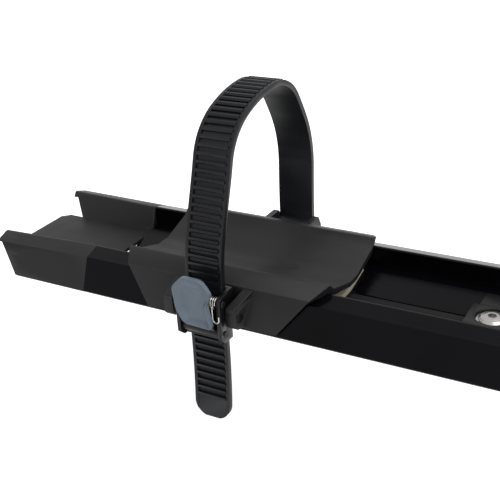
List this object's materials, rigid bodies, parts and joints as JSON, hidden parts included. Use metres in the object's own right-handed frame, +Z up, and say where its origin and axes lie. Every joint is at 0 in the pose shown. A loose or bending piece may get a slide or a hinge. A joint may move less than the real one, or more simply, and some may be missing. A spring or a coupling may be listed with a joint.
{
  "type": "roof bike rack",
  "caption": "Channel tray on screw-down feet with a sliding wheel saddle, ladder strap and ratchet buckle, and a fork head with a cam skewer, to carry a bicycle on a car's roof bars.",
  "frame": {"origin": "top face of the rear roof bar, under the rear foot's screw", "axes": "+X along the tray to the front of the car, +Y across the car away from the buckle, +Z up"},
  "size_m": [1.458, 0.1847, 0.2098],
  "materials": {
    "black_aluminium": "anodised, glossy",
    "cap_plastic": "moulded, finely textured",
    "carrier_plastic": "moulded",
    "pad_rubber": "matt",
    "dark_steel": "blackened",
    "bright_steel": "zinc plated",
    "strap_plastic": "moulded, flexible",
    "buckle_plastic": "moulded",
    "lever_plastic": "moulded, blue-grey",
    "glide_nylon": "moulded, cream",
    "head_aluminium": "cast, painted black",
    "bush_aluminium": "turned"
  },
  "bodies": {
    "rear_foot": {"rear_clamp_block": "dark_steel", "rear_block_carrier": "carrier_plastic", "rear_washer": "bright_steel", "rear_screw": "bright_steel", "rear_foot_pad": "pad_rubber", "rear_channel_nut": "dark_steel"},
    "front_foot": {"front_clamp_block": "dark_steel", "front_block_carrier": "carrier_plastic", "front_washer": "bright_steel", "front_screw": "bright_steel", "front_foot_pad": "pad_rubber", "front_channel_nut": "dark_steel"},
    "lever": {"ratchet_lever": "lever_plastic"},
    "pawl": {"holding_pawl": "buckle_plastic"},
    "cam": {"cam_lever": "head_aluminium"},
    "nut": {"skewer_nut": "bush_aluminium"},
    "saddle": {"wheel_saddle": "cap_plastic", "saddle_glide": "glide_nylon", "saddle_keeper_plate": "dark_steel", "saddle_keeper_screws": "bright_steel", "ladder_strap": "strap_plastic", "strap_anchor_pin": "bright_steel", "buckle_base": "buckle_plastic", "buckle_pivot_pins": "bright_steel", "lever_pin": "bright_steel", "lever_spring": "bright_steel", "pawl_pin": "bright_steel"},
    "tray": {"cam_cup": "bush_aluminium", "cam_pin": "bright_steel", "end_cap_screws": "bright_steel", "far_axle_bush": "bush_aluminium", "fork_head": "head_aluminium", "front_end_cap": "cap_plastic", "head_clamp_plate": "dark_steel", "head_screws": "bright_steel", "near_axle_bush": "bush_aluminium", "rear_end_cap": "cap_plastic", "skewer_rod": "bright_steel", "tray": "black_aluminium"}
  },
  "joints": [
    {"name": "tray_slide", "type": "slide", "parent": "rear_foot", "child": "tray", "axis": [1, 0, 0], "range_m": [-0.17, 0.02]},
    {"name": "front_foot_slide", "type": "slide", "parent": "tray", "child": "front_foot", "axis": [1, 0, 0], "range_m": [-0.13, 0.15]},
    {"name": "saddle_slide", "type": "slide", "parent": "tray", "child": "saddle", "axis": [1, 0, 0], "range_m": [-0.02, 0.03]},
    {"name": "lever_swing", "type": "hinge", "parent": "saddle", "child": "lever", "pos_m": [-0.1486, -0.0616, 0.029], "axis": [-1, 0, 0], "range_deg": [0, 30], "stiffness_Nm_per_rad": 0.05, "springref_deg": -20.05},
    {"name": "pawl_swing", "type": "hinge", "parent": "saddle", "child": "pawl", "pos_m": [-0.1486, -0.0612, 0.01], "axis": [-1, 0, 0], "range_deg": [0, 20], "stiffness_Nm_per_rad": 0.03, "springref_deg": -20.05},
    {"name": "cam_lever_swing", "type": "hinge", "parent": "tray", "child": "cam", "pos_m": [0.995, -0.0875, 0.0945], "axis": [1, 0, 0], "range_deg": [0, 90]},
    {"name": "skewer_nut_turn", "type": "hinge", "parent": "tray", "child": "nut", "pos_m": [0.995, 0.081, 0.0945], "axis": [0, 1, 0], "continuous": true}
  ]
}
